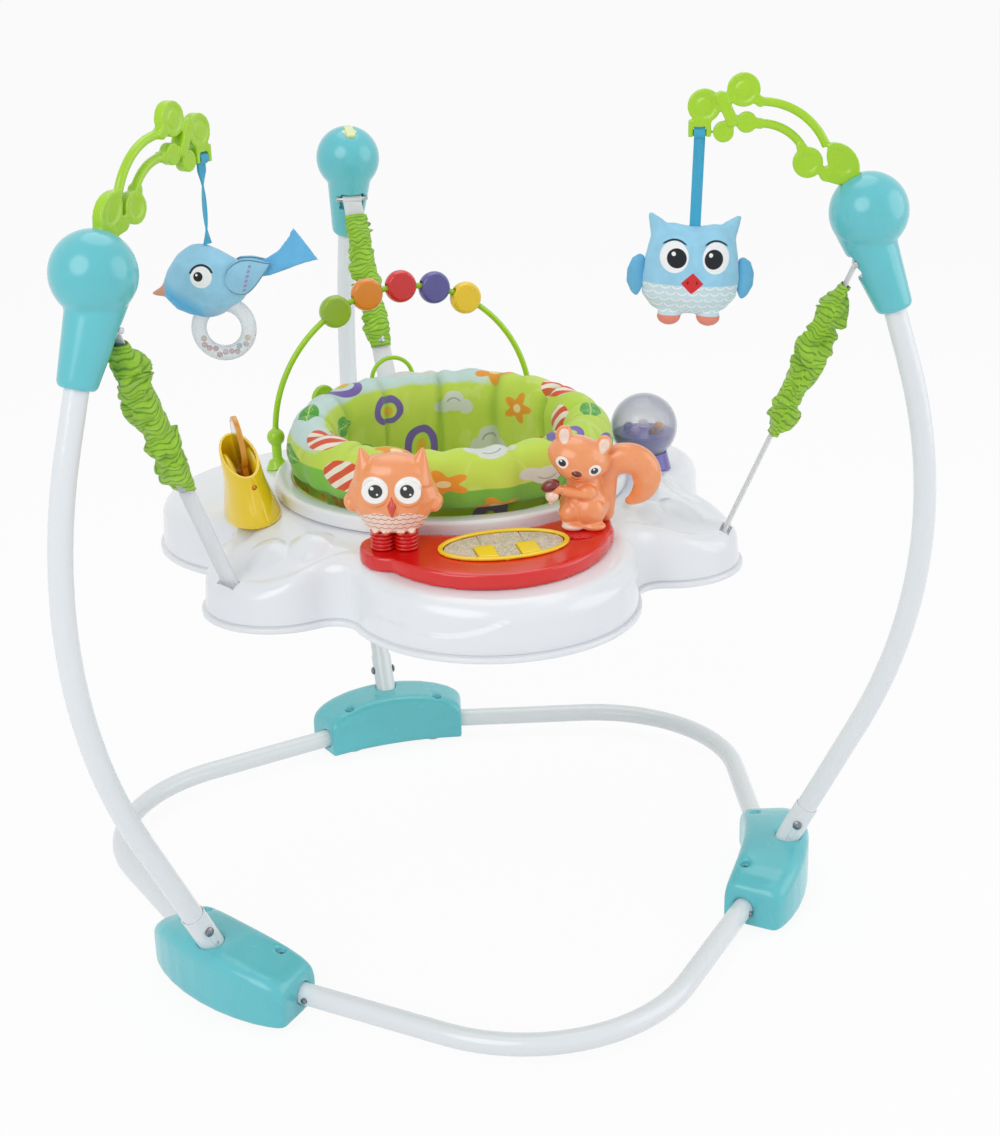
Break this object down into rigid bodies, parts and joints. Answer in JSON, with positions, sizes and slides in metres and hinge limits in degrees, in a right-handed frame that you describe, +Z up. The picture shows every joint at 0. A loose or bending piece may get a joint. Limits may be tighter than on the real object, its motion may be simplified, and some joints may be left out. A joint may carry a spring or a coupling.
{
  "type": "baby jumper frame",
  "caption": "Free-standing tube frame that hangs a cloud-shaped toy tray with a turning padded seat from spring-loaded straps, with hanging and sliding toys.",
  "frame": {"origin": "on the floor under the middle of the whole object's box", "axes": "+Z up, +Y to the back post, -Y to the front of the tray"},
  "size_m": [0.9682, 1.0196, 0.9754],
  "materials": {
    "white_tube": "white powder coat",
    "turquoise_shell": "gloss moulded",
    "white_shell": "satin gloss moulded",
    "rubber_foot": "matt",
    "steel": "zinc plated",
    "dark_steel": "blackened",
    "plug_yellow": "moulded",
    "lime_plastic": "gloss moulded",
    "webbing": "woven nylon",
    "lime_cloth": "gathered cotton",
    "red_plastic": "gloss moulded",
    "yellow_plastic": "gloss moulded",
    "clear_key": "glitter in clear resin",
    "red_rubber": "soft moulded",
    "peach_plastic": "pearl gloss",
    "orange_clear": "tinted clear",
    "purple_plastic": "gloss moulded",
    "clear_plastic": "clear moulded",
    "green_bead": "gloss moulded",
    "orange_bead": "gloss moulded",
    "red_bead": "gloss moulded",
    "purple_bead": "gloss moulded",
    "yellow_bead": "gloss moulded",
    "pad_cloth": "printed padded cotton",
    "sling_cloth": "cotton",
    "sky_plush": "velour",
    "blue_plush": "velour",
    "blue_ribbon": "woven ribbon"
  },
  "bodies": {
    "frame": {"base_tube_front": "white_tube", "base_tube_right": "white_tube", "base_tube_left": "white_tube", "foot_housing_left": "turquoise_shell", "foot_housing_right": "turquoise_shell", "foot_housing_back": "turquoise_shell", "rubber_feet": "rubber_foot", "snap_buttons": "steel", "post_stubs": "white_tube", "post_tube_left": "white_tube", "post_tube_right": "white_tube", "post_tube_back": "white_tube", "post_bolts": "dark_steel", "head_left": "turquoise_shell", "head_right": "turquoise_shell", "head_back": "turquoise_shell", "strap_pins": "steel", "socket_plug": "plug_yellow", "toy_arm_left": "lime_plastic", "toy_arm_right": "lime_plastic", "top_straps": "webbing", "strap_springs": "steel", "spring_sleeve_left": "lime_cloth", "spring_sleeve_right": "lime_cloth", "spring_sleeve_back": "lime_cloth"},
    "tray": {"lower_straps": "webbing", "tray_shell": "white_shell", "anchor_bars": "steel", "console_body": "red_plastic", "console_rim": "yellow_plastic", "owl_legs": "red_rubber", "pedestal": "yellow_plastic", "ball_cradle": "purple_plastic", "arch_rod": "lime_plastic"},
    "clear_key_left": {"key_clear_left": "clear_key"},
    "clear_key_middle": {"key_clear_middle": "clear_key"},
    "clear_key_right": {"key_clear_right": "clear_key"},
    "yellow_key_left": {"key_yellow_left": "yellow_plastic"},
    "yellow_key_right": {"key_yellow_right": "yellow_plastic"},
    "switch": {"mode_switch": "red_plastic"},
    "owl": {"owl_figure": "peach_plastic"},
    "squirrel": {"squirrel_figure": "peach_plastic"},
    "mirror": {"mirror_paddle": "orange_clear"},
    "ball": {"clear_ball": "clear_plastic", "ball_core": "purple_plastic"},
    "green_bead": {"bead_green": "green_bead"},
    "orange_bead": {"bead_orange": "orange_bead"},
    "red_bead": {"bead_red": "red_bead"},
    "purple_bead": {"bead_purple": "purple_bead"},
    "yellow_bead": {"bead_yellow": "yellow_bead"},
    "seat": {"seat_ring": "white_shell", "seat_pad": "pad_cloth", "seat_sling": "sling_cloth"},
    "bird": {"bird_body": "sky_plush", "bird_tail": "sky_plush", "bird_ribbon": "blue_ribbon"},
    "rattle": {"rattle_ring": "clear_plastic"},
    "plush_owl": {"owl_plush_body": "blue_plush", "owl_plush_wings": "blue_plush", "owl_strap": "blue_ribbon"}
  },
  "joints": [
    {"name": "bounce", "type": "slide", "parent": "frame", "child": "tray", "axis": [0, 0, 1], "range_m": [-0.12, 0.03], "stiffness_N_per_m": 900, "springref_m": 0.07, "deforming": ["spring_sleeve_left", "spring_sleeve_right", "spring_sleeve_back", "strap_springs"]},
    {"name": "seat_spin", "type": "hinge", "parent": "tray", "child": "seat", "pos_m": [0, -0.04724, 0.511], "axis": [0, 0, 1], "continuous": true},
    {"name": "clear_key_left_press", "type": "slide", "parent": "tray", "child": "clear_key_left", "axis": [-0.0047, -0.0783, 0.9969], "range_m": [-0.0025, 0], "stiffness_N_per_m": 400, "springref_m": 0.002},
    {"name": "clear_key_middle_press", "type": "slide", "parent": "tray", "child": "clear_key_middle", "axis": [-0.0047, -0.0783, 0.9969], "range_m": [-0.0025, 0], "stiffness_N_per_m": 400, "springref_m": 0.002},
    {"name": "clear_key_right_press", "type": "slide", "parent": "tray", "child": "clear_key_right", "axis": [-0.0047, -0.0783, 0.9969], "range_m": [-0.0025, 0], "stiffness_N_per_m": 400, "springref_m": 0.002},
    {"name": "yellow_key_left_press", "type": "slide", "parent": "tray", "child": "yellow_key_left", "axis": [-0.0047, -0.0783, 0.9969], "range_m": [-0.0025, 0], "stiffness_N_per_m": 400, "springref_m": 0.002},
    {"name": "yellow_key_right_press", "type": "slide", "parent": "tray", "child": "yellow_key_right", "axis": [-0.0047, -0.0783, 0.9969], "range_m": [-0.0025, 0], "stiffness_N_per_m": 400, "springref_m": 0.002},
    {"name": "switch_slide", "type": "slide", "parent": "tray", "child": "switch", "axis": [0.9982, -0.0593, 0], "range_m": [-0.004, 0.004]},
    {"name": "owl_bob", "type": "slide", "parent": "tray", "child": "owl", "axis": [-0.0047, -0.0783, 0.9969], "range_m": [-0.005, 0], "stiffness_N_per_m": 900, "springref_m": 0.006, "deforming": ["owl_legs"]},
    {"name": "squirrel_turn", "type": "hinge", "parent": "tray", "child": "squirrel", "pos_m": [0.09179, -0.27342, 0.5165], "axis": [-0.0047, -0.0783, 0.9969], "range_deg": [-20, 20]},
    {"name": "mirror_rock", "type": "hinge", "parent": "tray", "child": "mirror", "pos_m": [-0.24418, -0.0626, 0.54591], "axis": [0.0628, -0.998, 0], "range_deg": [-7, 10], "stiffness_Nm_per_rad": 0.12},
    {"name": "ball_spin", "type": "hinge", "parent": "tray", "child": "ball", "pos_m": [0.24093, -0.05313, 0.55196], "axis": [0, 0, 1], "continuous": true},
    {"name": "green_bead_spin", "type": "hinge", "parent": "tray", "child": "green_bead", "pos_m": [-0.09635, 0.10237, 0.69071], "axis": [-0.8635, -0.0695, -0.4996], "continuous": true},
    {"name": "orange_bead_spin", "type": "hinge", "parent": "tray", "child": "orange_bead", "pos_m": [-0.05594, 0.10563, 0.70749], "axis": [-0.9629, -0.0775, -0.2586], "continuous": true},
    {"name": "red_bead_spin", "type": "hinge", "parent": "tray", "child": "red_bead", "pos_m": [-0.01258, 0.10911, 0.71321], "axis": [-0.9968, -0.0802, 0], "continuous": true},
    {"name": "purple_bead_spin", "type": "hinge", "parent": "tray", "child": "purple_bead", "pos_m": [0.03078, 0.1126, 0.70749], "axis": [-0.9629, -0.0775, 0.2586], "continuous": true},
    {"name": "yellow_bead_spin", "type": "hinge", "parent": "tray", "child": "yellow_bead", "pos_m": [0.07119, 0.11585, 0.69071], "axis": [-0.8635, -0.0695, 0.4996], "continuous": true},
    {"name": "bird_swing", "type": "hinge", "parent": "frame", "child": "bird", "pos_m": [-0.279, -0.15453, 0.91386], "axis": [-0.7071, -0.7071, 0], "range_deg": [-20, 20]},
    {"name": "rattle_spin", "type": "hinge", "parent": "bird", "child": "rattle", "pos_m": [-0.26946, -0.15752, 0.73976], "axis": [-0.299, -0.9542, 0], "continuous": true},
    {"name": "plush_owl_swing", "type": "hinge", "parent": "frame", "child": "plush_owl", "pos_m": [0.24184, -0.20859, 0.91386], "axis": [0.9135, -0.4067, 0], "range_deg": [-20, 20]}
  ]
}
